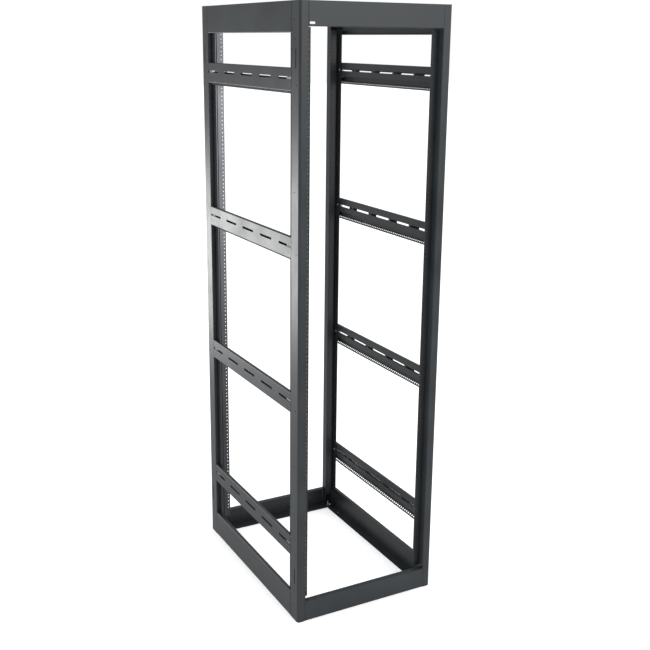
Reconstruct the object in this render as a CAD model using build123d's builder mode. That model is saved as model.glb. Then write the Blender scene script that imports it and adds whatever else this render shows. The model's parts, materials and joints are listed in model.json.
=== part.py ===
"""Open four-post equipment rack: a welded steel frame with adjustable 19-inch rack rails.

Millimetres. Origin at the middle of the footprint on the floor, +Z up, front towards -Y,
left side towards -X. "Side" is the left or right face, "end" is the front or rear face.
"""
import os

from build123d import *

# Height: whole rack units between two end heights
rack_unit = 44.45
unit_count = 44
end_height = 77.8
rack_rail_length = rack_unit * unit_count
rack_height = rack_rail_length + 2 * end_height

# Footprint
rack_width = 558.8
rack_depth = 800.1

# Formed sheet of the frame
sheet = 1.9
bend_radius = 2.6

# Corner posts
post_face = 31.75
post_side = 57.15
post_bevel = 6.0
post_face_return = 30.0
post_side_return = 14.0

# Horizontal rails that close the frame at the top and the base
end_rail_height = 76.2
top_rear_rail_height = 40.0
side_rail_height = 95.25
inner_flange = 22.0
side_inner_flange = post_side_return
end_outer_flange = 46.0
base_rear_outer_flange = post_side
side_outer_flange = 36.0
flange_drain_radius = 3.0
flange_drain_inset = 121.0

# Corner plates, inside each end of each post
plate_thickness = 3.0
plate_gap = 0.4
plate_lap = 12.0
foot_hole_radius = 6.5
foot_hole_inset_x = 16.0
foot_hole_inset_y = 38.0

# Side braces: folded channels, open towards the inside of the rack
brace_tops = [rack_height - 200.0 - step * 12 * rack_unit for step in (0, 1, 2)]
brace_tops.append(rack_height - 1800.2)
brace_web = 70.0
brace_depth = post_side_return
brace_lip_run = 12.4
brace_lip_drop = 10.2
brace_mouth = 28.2
slot_count = 5
tie_slot_height = 8.0
tie_slot_bridge = 55.95
tie_slot_end_margin = 1.0
tie_slot_drop = 31.5
rail_slot_height = 8.0
rail_slot_bridge = 10.0
rail_slot_end_margin = 3.0
rail_slot_drop = 27.0
lip_hole_pitch = 12.7
lip_hole_length = 7.6
lip_hole_width = 6.0
brace_hole_radius = 2.4
brace_hole_drop = 53.3
brace_hole_inset = 20.0

# Small holes in the side face of each post, as (distance from the end face, distance from top or base)
post_hole_radius = 2.4
post_holes = [(38.9, 55.7), (31.6, 113.3)]
post_slot_inset = 26.0
post_slot_drop = 171.0
post_slot_length = 61.0
post_slot_width = 5.0
pin_hole_radius = 1.3
pin_hole_rows = [407.0, 586.0]
pin_hole_insets = [30.5, 34.5, 38.5]
latch_hole_inset = 20.0

# Small slot in the top front rail, near its left end
end_rail_slot_inset = 43.8
end_rail_slot_drop = 66.0
end_rail_slot_length = 20.0
end_rail_slot_height = 7.0

# Rack rails
rack_rail_sheet = 3.0
rack_opening = 450.85
rack_hole_span = 465.1
rack_hole_radius = 2.4
rack_hole_offsets = [6.35, 22.225, 38.1]
rack_rail_post_gap = 0.475
rack_rail_step = 11.0
rack_rail_gap = 0.4
rack_rail_past_post = 33.85
flange_hole_radius = 2.6
flange_hole_margin = 4.5
front_setback = 31.75
rear_setback = 69.0

# Bolts that clamp each rack rail to the braces, and the nut plates inside the braces
rail_bolt_past_post = 20.85
bolt_radius = 3.0
bolt_hole_radius = 3.3
bolt_head_across = 10.0
bolt_head_height = 3.6
bolt_length = 12.4
bolt_washer_radius = 6.2
bolt_washer_height = 0.9
channel_nut_length = 30.0
channel_nut_height = 20.0
channel_nut_gap = 0.5
nut_thread_gap = 0.05

# Earthing stud on the base plate of the rear right corner
stud_radius = 3.0
stud_length = 22.0
stud_foot_radius = 5.6
stud_foot_height = 1.6
stud_nut_across = 10.0
stud_nut_height = 5.0
stud_inset_x = 29.5
stud_inset_y = 48.0

# Working positions
half_width = rack_width / 2
half_depth = rack_depth / 2
brace_length = rack_depth - 2 * post_side
end_rail_length = rack_width - 2 * post_face
brace_wall_x = half_width - brace_depth
brace_inner_wall = brace_web + brace_lip_drop - brace_mouth
tie_slot_bridges = 2 * tie_slot_end_margin + (slot_count - 1) * tie_slot_bridge
tie_slot_length = (brace_length - tie_slot_bridges) / slot_count
rail_slot_bridges = 2 * rail_slot_end_margin + (slot_count - 1) * rail_slot_bridge
rail_slot_length = (brace_length - rail_slot_bridges) / slot_count
rail_step_x = half_width - post_face + sheet + rack_rail_post_gap
rail_flange_x = brace_wall_x - rack_rail_gap
rail_bolt_y = half_depth - post_side - rail_bolt_past_post
stud_place = (half_width - stud_inset_x, half_depth - stud_inset_y)
stud_seat = sheet + plate_thickness + stud_foot_height


def formed_section(points, side):
    """Closed section of a folded sheet whose outer surface follows the points."""
    with BuildSketch() as section:
        with BuildLine():
            FilletPolyline(*points, radius=bend_radius)
            offset(amount=sheet, side=side)
        make_face()
    return section.sketch


def finish_piece(part, name):
    """Label one piece and write it to its own file."""
    part.label = name
    export_step(part, f"parts/{name}.step")


def corner_names(prefix, suffix):
    """Names of the front left, front right, rear left and rear right copies of a piece."""
    return [f"{prefix}{end}_{side}{suffix}" for end in ("front", "rear") for side in ("left", "right")]


def finish_four_corners(part, names):
    """Write a front left piece and its three mirrored copies."""
    with BuildPart() as right:
        mirror(part, about=Plane.YZ)
    with BuildPart() as rear_left:
        mirror(part, about=Plane.XZ)
    with BuildPart() as rear_right:
        mirror(rear_left.part, about=Plane.YZ)
    pieces = (part, right.part, rear_left.part, rear_right.part)
    for piece, name in zip(pieces, names):
        finish_piece(piece, name)


def finish_left_and_right(part, left_name, right_name):
    """Write a left piece and its mirrored copy."""
    finish_piece(part, left_name)
    with BuildPart() as right:
        mirror(part, about=Plane.YZ)
    finish_piece(right.part, right_name)


def make_post():
    """Front left corner post, with a bevelled outer corner and two inward returns."""
    left = -half_width
    front = -half_depth
    outline = [
        (left + post_side_return, front + post_side),
        (left, front + post_side),
        (left, front + post_bevel),
        (left + post_bevel, front),
        (left + post_face, front),
        (left + post_face, front + post_face_return),
    ]
    holes = [(inset, z) for inset, drop in post_holes for z in (drop, rack_height - drop)]
    holes += [(latch_hole_inset, top - brace_hole_drop) for top in brace_tops]
    pin_levels = [z for row in pin_hole_rows for z in (row, rack_height - row)]
    with BuildPart() as post:
        with BuildSketch(Plane.XY):
            add(formed_section(outline, Side.LEFT))
        extrude(amount=rack_height)
        with BuildSketch(Plane.YZ.offset(left)):
            with Locations(*[(front + inset, z) for inset, z in holes]):
                Circle(post_hole_radius)
            with Locations(*[(front + inset, z) for inset in pin_hole_insets for z in pin_levels]):
                Circle(pin_hole_radius)
            with Locations(
                (front + post_slot_inset, post_slot_drop),
                (front + post_slot_inset, rack_height - post_slot_drop),
            ):
                SlotOverall(post_slot_length, post_slot_width, rotation=90)
        extrude(amount=sheet, mode=Mode.SUBTRACT)
    return post.part


def make_end_rail(at_top, web_height, outer_flange):
    """Front rail of the top or the base: a channel between the front posts."""
    front = -half_depth
    outer = rack_height if at_top else 0.0
    inward = -1 if at_top else 1
    outline = [
        (front + outer_flange, outer),
        (front, outer),
        (front, outer + inward * web_height),
        (front + inner_flange, outer + inward * web_height),
    ]
    with BuildPart() as rail:
        with BuildSketch(Plane.YZ):
            add(formed_section(outline, Side.LEFT if at_top else Side.RIGHT))
        extrude(amount=end_rail_length / 2, both=True)
    return rail.part


def make_rear_rail(at_top, web_height, outer_flange):
    """Rear rail of the top or the base."""
    with BuildPart() as rail:
        mirror(make_end_rail(at_top, web_height, outer_flange), about=Plane.XZ)
    return rail.part


def make_top_front_rail():
    """Front rail of the top, with a small slot near its left end."""
    with BuildPart() as rail:
        add(make_end_rail(True, end_rail_height, end_outer_flange))
        with BuildSketch(Plane.XZ.offset(half_depth)):
            with Locations((end_rail_slot_inset - half_width, rack_height - end_rail_slot_drop)):
                SlotOverall(end_rail_slot_length, end_rail_slot_height)
        extrude(amount=-sheet, mode=Mode.SUBTRACT)
    return rail.part


def make_side_rail(at_top):
    """Left rail of the top or the base: a channel between the left posts."""
    left = -half_width
    outer = rack_height if at_top else 0.0
    inward = -1 if at_top else 1
    outline = [
        (left + side_outer_flange, outer),
        (left, outer),
        (left, outer + inward * side_rail_height),
        (left + side_inner_flange, outer + inward * side_rail_height),
    ]
    with BuildPart() as rail:
        with BuildSketch(Plane.XZ):
            add(formed_section(outline, Side.LEFT if at_top else Side.RIGHT))
        extrude(amount=brace_length / 2, both=True)
        with BuildSketch(Plane.XY.offset(outer)):
            with Locations((left + side_outer_flange / 2, 0)):
                with GridLocations(1, 2 * (half_depth - flange_drain_inset), 1, 2):
                    Circle(flange_drain_radius)
        extrude(amount=inward * sheet, mode=Mode.SUBTRACT)
    return rail.part


def make_corner_plate(at_top):
    """Front left plate that closes a post's end and laps onto the flanges beside it."""
    left = -half_width
    front = -half_depth
    wall = sheet + plate_gap
    cut = post_bevel + sheet / 2 + plate_gap
    near_x = left + post_face - wall
    far_x = left + side_outer_flange
    near_y = front + post_face_return + plate_gap
    far_y = front + post_side + plate_lap
    return_y = front + post_side - wall
    outline = [
        (left + wall, front + cut),
        (left + cut, front + wall),
        (near_x, front + wall),
        (near_x, near_y),
        (far_x, near_y),
        (far_x, far_y),
        (left + post_side_return + plate_gap, far_y),
        (left + post_side_return + plate_gap, return_y),
        (left + wall, return_y),
    ]
    base = rack_height - sheet - plate_thickness if at_top else sheet
    with BuildPart() as plate:
        with BuildSketch(Plane.XY.offset(base)):
            with BuildLine():
                Polyline(*outline, close=True)
            make_face()
            with Locations((left + foot_hole_inset_x, front + foot_hole_inset_y)):
                Circle(foot_hole_radius, mode=Mode.SUBTRACT)
        extrude(amount=plate_thickness)
    return plate.part


def make_brace(top):
    """Left side brace: slotted outer web, slotted inner wall and a perforated sloping lip."""
    left = -half_width
    lip_start = (left, top - brace_web)
    lip_end = (left + brace_lip_run, top - brace_web - brace_lip_drop)
    outline = [
        (left + brace_depth, top - brace_inner_wall),
        (left + brace_depth, top),
        (left, top),
        lip_start,
        lip_end,
    ]
    hole_y = brace_length / 2 - brace_hole_inset
    lip_count = int((brace_length - lip_hole_length) // lip_hole_pitch)
    lip_middle = ((lip_start[0] + lip_end[0]) / 2, 0.0, (lip_start[1] + lip_end[1]) / 2)
    lip_plane = Plane(origin=lip_middle, x_dir=(0, 1, 0), z_dir=(-brace_lip_drop, 0, -brace_lip_run))
    with BuildPart() as brace:
        with BuildSketch(Plane.XZ):
            add(formed_section(outline, Side.RIGHT))
        extrude(amount=brace_length / 2, both=True)
        with BuildSketch(Plane.YZ.offset(left)):
            with Locations((0, top - tie_slot_drop)):
                with GridLocations(tie_slot_length + tie_slot_bridge, 1, slot_count, 1):
                    SlotOverall(tie_slot_length, tie_slot_height)
            with Locations((-hole_y, top - brace_hole_drop), (hole_y, top - brace_hole_drop)):
                Circle(brace_hole_radius)
        extrude(amount=sheet, mode=Mode.SUBTRACT)
        with BuildSketch(Plane.YZ.offset(left + brace_depth)):
            with Locations((0, top - rail_slot_drop)):
                with GridLocations(rail_slot_length + rail_slot_bridge, 1, slot_count, 1):
                    SlotOverall(rail_slot_length, rail_slot_height)
        extrude(amount=-sheet, mode=Mode.SUBTRACT)
        with BuildSketch(lip_plane):
            with GridLocations(lip_hole_pitch, 1, lip_count, 1):
                Rectangle(lip_hole_length, lip_hole_width)
        extrude(amount=2 * sheet, both=True, mode=Mode.SUBTRACT)
    return brace.part


def make_rack_rail(face_y, inward):
    """Left rack rail: a pierced face, a step outwards and a flange that lies along the braces."""
    inner_x = -rack_opening / 2
    outer_x = -rail_flange_x
    step_x = -rail_step_x
    outer_y = face_y - inward * rack_rail_step
    flange_y = -inward * (half_depth - post_side - rack_rail_past_post)
    back_y = face_y + inward * rack_rail_sheet
    outline = [
        (inner_x, face_y),
        (step_x, face_y),
        (step_x, outer_y),
        (outer_x, outer_y),
        (outer_x, flange_y),
        (outer_x + rack_rail_sheet, flange_y),
        (outer_x + rack_rail_sheet, outer_y + inward * rack_rail_sheet),
        (step_x - rack_rail_sheet, outer_y + inward * rack_rail_sheet),
        (step_x - rack_rail_sheet, back_y),
        (inner_x, back_y),
    ]
    unit_bases = [end_height + unit * rack_unit for unit in range(unit_count)]
    face_holes = [(-rack_hole_span / 2, base + z) for base in unit_bases for z in rack_hole_offsets]
    flange_hole_y = flange_y - inward * flange_hole_margin
    flange_holes = [(flange_hole_y, base + rack_unit / 2) for base in unit_bases]
    bolt_holes = [(-inward * rail_bolt_y, top - rail_slot_drop) for top in brace_tops]
    with BuildPart() as rail:
        with BuildSketch(Plane.XY.offset(end_height)):
            with BuildLine():
                Polyline(*outline, close=True)
            make_face()
        extrude(amount=rack_rail_length)
        for bend in ((outer_x, outer_y), (step_x, outer_y), (step_x - rack_rail_sheet, back_y)):
            edge = rail.edges().filter_by(Axis.Z).sort_by_distance((*bend, rack_height / 2))[0]
            fillet(edge, radius=bend_radius)
        with BuildSketch(Plane.XZ.offset(-face_y)):
            with Locations(*face_holes):
                Circle(rack_hole_radius)
        extrude(amount=-inward * rack_rail_sheet, mode=Mode.SUBTRACT)
        with BuildSketch(Plane.YZ.offset(outer_x)):
            with Locations(*flange_holes):
                Circle(flange_hole_radius)
            with Locations(*bolt_holes):
                Circle(bolt_hole_radius)
        extrude(amount=rack_rail_sheet, mode=Mode.SUBTRACT)
    return rail.part


def make_bolt(seat_x, y, z):
    """One flanged hexagon bolt: head inward of the seat, shank towards -X."""
    with BuildPart() as bolt:
        with BuildSketch(Plane.YZ.offset(seat_x)):
            with Locations((y, z)):
                Circle(bolt_washer_radius)
        extrude(amount=bolt_washer_height)
        with BuildSketch(Plane.YZ.offset(seat_x + bolt_washer_height)):
            with Locations((y, z)):
                RegularPolygon(bolt_head_across / 2, 6, major_radius=False)
        extrude(amount=bolt_head_height)
        with BuildSketch(Plane.YZ.offset(seat_x)):
            with Locations((y, z)):
                Circle(bolt_radius)
        extrude(amount=-bolt_length)
    return bolt.part


def make_bolts(inward):
    """Left bolts of one rack rail: one at each brace, from the rail's flange into the brace."""
    with BuildPart() as bolts:
        for top in brace_tops:
            add(make_bolt(rack_rail_sheet - rail_flange_x, -inward * rail_bolt_y, top - rail_slot_drop))
    return bolts.part


def make_channel_nuts(inward):
    """Left nut plates of one rack rail, behind the slots of the braces' inner walls."""
    outer_x = -(half_width - sheet - channel_nut_gap)
    inner_x = -(brace_wall_x + sheet + channel_nut_gap)
    with BuildPart() as nuts:
        for top in brace_tops:
            with BuildSketch(Plane.YZ.offset(outer_x)):
                with Locations((-inward * rail_bolt_y, top - rail_slot_drop)):
                    Rectangle(channel_nut_length, channel_nut_height)
                    Circle(bolt_radius + nut_thread_gap, mode=Mode.SUBTRACT)
            extrude(amount=inner_x - outer_x)
    return nuts.part


def make_rack_rail_set(end, face_y, inward):
    """Both rack rails of one end, with their bolts and nut plates."""
    pieces = {
        "rack_rail": make_rack_rail(face_y, inward),
        "rail_bolts": make_bolts(inward),
        "channel_nuts": make_channel_nuts(inward),
    }
    for kind, piece in pieces.items():
        finish_left_and_right(piece, f"{end}_left_{kind}", f"{end}_right_{kind}")


def make_ground_stud():
    """Earthing stud that stands on the rear right corner plate of the base."""
    with BuildPart() as stud:
        with BuildSketch(Plane.XY.offset(sheet + plate_thickness)):
            with Locations(stud_place):
                Circle(stud_foot_radius)
        extrude(amount=stud_foot_height)
        with BuildSketch(Plane.XY.offset(sheet + plate_thickness)):
            with Locations(stud_place):
                Circle(stud_radius)
        extrude(amount=stud_length)
        chamfer(stud.faces().sort_by(Axis.Z)[-1].edges(), length=stud_radius / 6)
    return stud.part


def make_ground_nut():
    """Flanged nut on the earthing stud."""
    with BuildPart() as nut:
        with BuildSketch(Plane.XY.offset(stud_seat)):
            with Locations(stud_place):
                Circle(stud_foot_radius)
        extrude(amount=bolt_washer_height)
        with BuildSketch(Plane.XY.offset(stud_seat + bolt_washer_height)):
            with Locations(stud_place):
                RegularPolygon(stud_nut_across / 2, 6, major_radius=False)
        extrude(amount=stud_nut_height)
        with BuildSketch(Plane.XY.offset(stud_seat)):
            with Locations(stud_place):
                Circle(stud_radius + nut_thread_gap)
        extrude(amount=bolt_washer_height + stud_nut_height, mode=Mode.SUBTRACT)
    return nut.part


os.makedirs("parts", exist_ok=True)

finish_four_corners(make_post(), corner_names("", "_post"))
for level, at_top in (("base", False), ("top", True)):
    finish_left_and_right(make_side_rail(at_top), f"{level}_left_rail", f"{level}_right_rail")
    finish_four_corners(make_corner_plate(at_top), corner_names(f"{level}_", "_corner_plate"))

finish_piece(make_end_rail(False, end_rail_height, end_outer_flange), "base_front_rail")
finish_piece(make_rear_rail(False, end_rail_height, base_rear_outer_flange), "base_rear_rail")
finish_piece(make_top_front_rail(), "top_front_rail")
finish_piece(make_rear_rail(True, top_rear_rail_height, end_outer_flange), "top_rear_rail")

for number, brace_top in enumerate(reversed(brace_tops), start=1):
    finish_left_and_right(make_brace(brace_top), f"left_brace_{number}", f"right_brace_{number}")

make_rack_rail_set("front", -half_depth + front_setback, 1)
make_rack_rail_set("rear", half_depth - rear_setback, -1)

finish_piece(make_ground_stud(), "ground_stud")
finish_piece(make_ground_nut(), "ground_nut")
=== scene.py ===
"""Looks of the open equipment rack: coats, zinc plate, floor, light and camera."""

import json
import math

import bpy
from mathutils import Matrix, Vector


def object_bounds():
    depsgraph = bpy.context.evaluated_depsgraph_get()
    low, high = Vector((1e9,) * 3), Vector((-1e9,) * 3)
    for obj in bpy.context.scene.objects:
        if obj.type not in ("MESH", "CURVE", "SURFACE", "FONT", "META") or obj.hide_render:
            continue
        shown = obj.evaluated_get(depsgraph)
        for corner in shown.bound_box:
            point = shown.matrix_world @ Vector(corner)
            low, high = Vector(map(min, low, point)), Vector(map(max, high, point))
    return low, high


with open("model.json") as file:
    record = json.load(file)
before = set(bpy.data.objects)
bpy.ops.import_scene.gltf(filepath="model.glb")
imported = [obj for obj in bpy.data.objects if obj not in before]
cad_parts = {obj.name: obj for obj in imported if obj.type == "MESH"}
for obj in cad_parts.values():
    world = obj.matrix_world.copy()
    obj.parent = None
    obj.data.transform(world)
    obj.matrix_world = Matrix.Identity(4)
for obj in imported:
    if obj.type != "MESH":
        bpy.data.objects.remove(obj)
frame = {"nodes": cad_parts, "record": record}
cad_box = [list(corner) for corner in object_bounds()]

LOW, HIGH = (Vector(corner) for corner in cad_box)
CENTRE = (LOW + HIGH) / 2


# ---------------------------------------------------------------- camera

CAMERA_PLACE = (-1.682, -3.162, 1.991)
CAMERA_YAW = 28.495
CAMERA_PITCH = 14.796
CAMERA_ROLL = 0.617
CAMERA_LENS = 54.831
CAMERA_SHIFT_UP = -0.034


def make_camera():
    """Camera at eye height, in front and to the left, turned towards the rack and slightly down."""
    data = bpy.data.cameras.new("camera")
    data.lens = CAMERA_LENS
    data.sensor_width = 36
    data.shift_y = CAMERA_SHIFT_UP
    camera = bpy.data.objects.new("camera", data)
    bpy.context.scene.collection.objects.link(camera)
    turn = Matrix.Rotation(math.radians(-CAMERA_YAW), 4, "Z")
    tilt = Matrix.Rotation(math.radians(90 - CAMERA_PITCH), 4, "X")
    roll = Matrix.Rotation(math.radians(CAMERA_ROLL), 4, "Z")
    camera.matrix_world = Matrix.Translation(CAMERA_PLACE) @ turn @ tilt @ roll
    bpy.context.scene.camera = camera


# ---------------------------------------------------------------- node helpers

def new_material(name):
    """An empty material with its tree, shader and object coordinates."""
    material = bpy.data.materials.new(name)
    material.use_nodes = True
    tree = material.node_tree
    tree.nodes.clear()
    output = tree.nodes.new("ShaderNodeOutputMaterial")
    shader = tree.nodes.new("ShaderNodeBsdfPrincipled")
    tree.links.new(shader.outputs["BSDF"], output.inputs["Surface"])
    coordinates = tree.nodes.new("ShaderNodeTexCoord").outputs["Object"]
    return material, tree, shader, coordinates


def noise(tree, coordinates, scale, detail=3.0, stretch=(1, 1, 1)):
    """Noise over the object's own coordinates, scale in features per metre."""
    mapping = tree.nodes.new("ShaderNodeMapping")
    mapping.inputs["Scale"].default_value = stretch
    tree.links.new(coordinates, mapping.inputs["Vector"])
    node = tree.nodes.new("ShaderNodeTexNoise")
    node.inputs["Scale"].default_value = scale
    node.inputs["Detail"].default_value = detail
    tree.links.new(mapping.outputs["Vector"], node.inputs["Vector"])
    return node.outputs["Fac"]


def remap(tree, value, low, high, from_low=0.3, from_high=0.7):
    """Stretch a value from one range to another."""
    node = tree.nodes.new("ShaderNodeMapRange")
    node.inputs["From Min"].default_value = from_low
    node.inputs["From Max"].default_value = from_high
    node.inputs["To Min"].default_value = low
    node.inputs["To Max"].default_value = high
    tree.links.new(value, node.inputs["Value"])
    return node.outputs["Result"]


def ramp_colour(tree, value, dark, light):
    """Colour between two colours by a value."""
    node = tree.nodes.new("ShaderNodeMix")
    node.data_type = "RGBA"
    node.inputs["A"].default_value = (*dark, 1)
    node.inputs["B"].default_value = (*light, 1)
    tree.links.new(value, node.inputs["Factor"])
    return node.outputs["Result"]


def bump(tree, height, distance, strength, normal=None):
    """Bump from a height, stacked on another bump's normal."""
    node = tree.nodes.new("ShaderNodeBump")
    node.inputs["Distance"].default_value = distance
    node.inputs["Strength"].default_value = strength
    tree.links.new(height, node.inputs["Height"])
    if normal is not None:
        tree.links.new(normal, node.inputs["Normal"])
    return node.outputs["Normal"]


# ---------------------------------------------------------------- materials

FLOOR_IN_GLOSS = 0.30
FLOOR_GLOW = 0.30
WORLD_IN_GLOSS = 0.40
FRAME_COAT_COLOURS = (0.017, 0.021, 0.024), (0.027, 0.033, 0.037)
RAIL_COAT_COLOURS = (0.013, 0.015, 0.017), (0.019, 0.022, 0.025)
DRIFT_SCALE = 7.0
SKIN_SCALE = 520.0
GRIT_SCALE = 1900.0


def powder_coat(name, dark, light, rough, gloss_spread):
    """Black powder coat: orange-peel skin, fine grit and a faint drift in colour and gloss."""
    material, tree, shader, place = new_material(name)
    drift = noise(tree, place, DRIFT_SCALE, 4.0)
    skin = noise(tree, place, SKIN_SCALE, 2.0)
    grit = noise(tree, place, GRIT_SCALE, 1.0)
    mixed = ramp_colour(tree, remap(tree, drift, 0.0, 1.0), dark, light)
    tree.links.new(mixed, shader.inputs["Base Color"])
    low, high = rough - gloss_spread, rough + gloss_spread
    tree.links.new(remap(tree, drift, low, high), shader.inputs["Roughness"])
    fine = bump(tree, grit, 0.0001, 0.10)
    tree.links.new(bump(tree, skin, 0.0004, 0.22, fine), shader.inputs["Normal"])
    shader.inputs["Specular IOR Level"].default_value = 0.5
    return material


def zinc(name):
    """Bright zinc plate: metal with a faint warm and blue drift and a fine grain."""
    material, tree, shader, place = new_material(name)
    drift = noise(tree, place, 90.0, 3.0)
    grain = noise(tree, place, 1500.0, 2.0, (1, 1, 6))
    mix = remap(tree, drift, 0.0, 1.0)
    colour = ramp_colour(tree, mix, (0.50, 0.51, 0.54), (0.78, 0.77, 0.72))
    tree.links.new(colour, shader.inputs["Base Color"])
    shader.inputs["Metallic"].default_value = 1.0
    tree.links.new(remap(tree, grain, 0.22, 0.40), shader.inputs["Roughness"])
    tree.links.new(bump(tree, grain, 0.0001, 0.15), shader.inputs["Normal"])
    return material


def floor_material():
    """White studio floor with a faint glow, which mirrors only weakly in the rack's gloss."""
    material, tree, shader, _ = new_material("floor_white")
    path = tree.nodes.new("ShaderNodeLightPath")
    glossy = path.outputs["Is Glossy Ray"]
    colour = ramp_colour(tree, glossy, (1.0,) * 3, (FLOOR_IN_GLOSS,) * 3)
    tree.links.new(colour, shader.inputs["Base Color"])
    shader.inputs["Roughness"].default_value = 0.9
    shader.inputs["Emission Color"].default_value = (1, 1, 1, 1)
    shader.inputs["Emission Strength"].default_value = FLOOR_GLOW
    shader.inputs["Specular IOR Level"].default_value = 0.0
    return material


def dress_nodes():
    """Give every CAD node its finish by the record's slot."""
    finishes = {
        "frame_coat": powder_coat("frame_coat", *FRAME_COAT_COLOURS, rough=0.40, gloss_spread=0.05),
        "rack_rail_coat": powder_coat("rack_rail_coat", *RAIL_COAT_COLOURS, rough=0.44, gloss_spread=0.04),
        "zinc_plate": zinc("zinc_plate"),
    }
    slots = {row["node"]: row["material_slot"] for row in frame["record"]["subparts"]}
    for name, node in frame["nodes"].items():
        node.data.materials.clear()
        node.data.materials.append(finishes[slots[name]])


# ---------------------------------------------------------------- stage

FLOOR_REACH = 40.0
FLOOR_GAP = 0.0005
LEFT_SIDE = ("front_left_post", "rear_left_post", "left_brace", "base_left", "top_left")


def add_softbox(name, place, target, width, height, power, colour=(1, 1, 1)):
    """Rectangular area light aimed at a point."""
    data = bpy.data.lights.new(name, "AREA")
    data.shape = "RECTANGLE"
    data.size = width
    data.size_y = height
    data.energy = power
    data.color = colour
    light = bpy.data.objects.new(name, data)
    light.location = place
    aim = Vector(target) - Vector(place)
    light.rotation_euler = aim.to_track_quat("-Z", "Y").to_euler()
    bpy.context.scene.collection.objects.link(light)
    return light


def make_floor():
    """Wide white floor just under the rack."""
    mesh = bpy.data.meshes.new("floor")
    reach = FLOOR_REACH
    corners = [(-reach, -reach, 0), (reach, -reach, 0), (reach, reach, 0), (-reach, reach, 0)]
    mesh.from_pydata(corners, [], [(0, 1, 2, 3)])
    floor = bpy.data.objects.new("floor", mesh)
    floor.location.z = LOW.z - FLOOR_GAP
    mesh.materials.append(floor_material())
    bpy.context.scene.collection.objects.link(floor)


def make_lights():
    """Soft light: one for the left side, one for the rear left rack rail, front and top."""
    left = add_softbox("left_softbox", (-1.55, 2.3, 0.75), (-0.28, 0.0, 1.15), 1.5, 1.0, 34)
    light_only(left, LEFT_SIDE)
    cool = (0.93, 0.93, 1.0)
    rail = add_softbox("rear_rail_softbox", (0.77, -2.02, 1.45), (-0.24, 0.33, 1.60), 0.7, 1.2, 75, cool)
    light_only(rail, ("rear_left_rack_rail",))
    add_softbox("front_softbox", (1.2, -3.2, 2.5), (0, -0.46, 1.9), 2.2, 1.6, 26)
    add_softbox("top_softbox", (0, 0, 4.6), tuple(CENTRE), 3.0, 3.0, 40)


def light_only(light, name_starts):
    """Let a light fall only on the CAD nodes whose names start so."""
    group = bpy.data.collections.new(light.name + "_receivers")
    for name, node in frame["nodes"].items():
        if name.startswith(name_starts):
            group.objects.link(node)
    light.light_linking.receiver_collection = group


def make_world():
    """White surround, dimmer in reflections so that the coat stays black."""
    world = bpy.data.worlds.new("studio")
    world.use_nodes = True
    world.cycles.sampling_method = "NONE"
    tree = world.node_tree
    background = tree.nodes["Background"]
    path = tree.nodes.new("ShaderNodeLightPath")
    strength = remap(tree, path.outputs["Is Glossy Ray"], 1.0, WORLD_IN_GLOSS, 0, 1)
    tree.links.new(strength, background.inputs["Strength"])
    background.inputs["Color"].default_value = (1, 1, 1, 1)
    bpy.context.scene.world = world


make_camera()
make_floor()
make_world()
make_lights()
bpy.context.scene.view_settings.view_transform = "Standard"
dress_nodes()
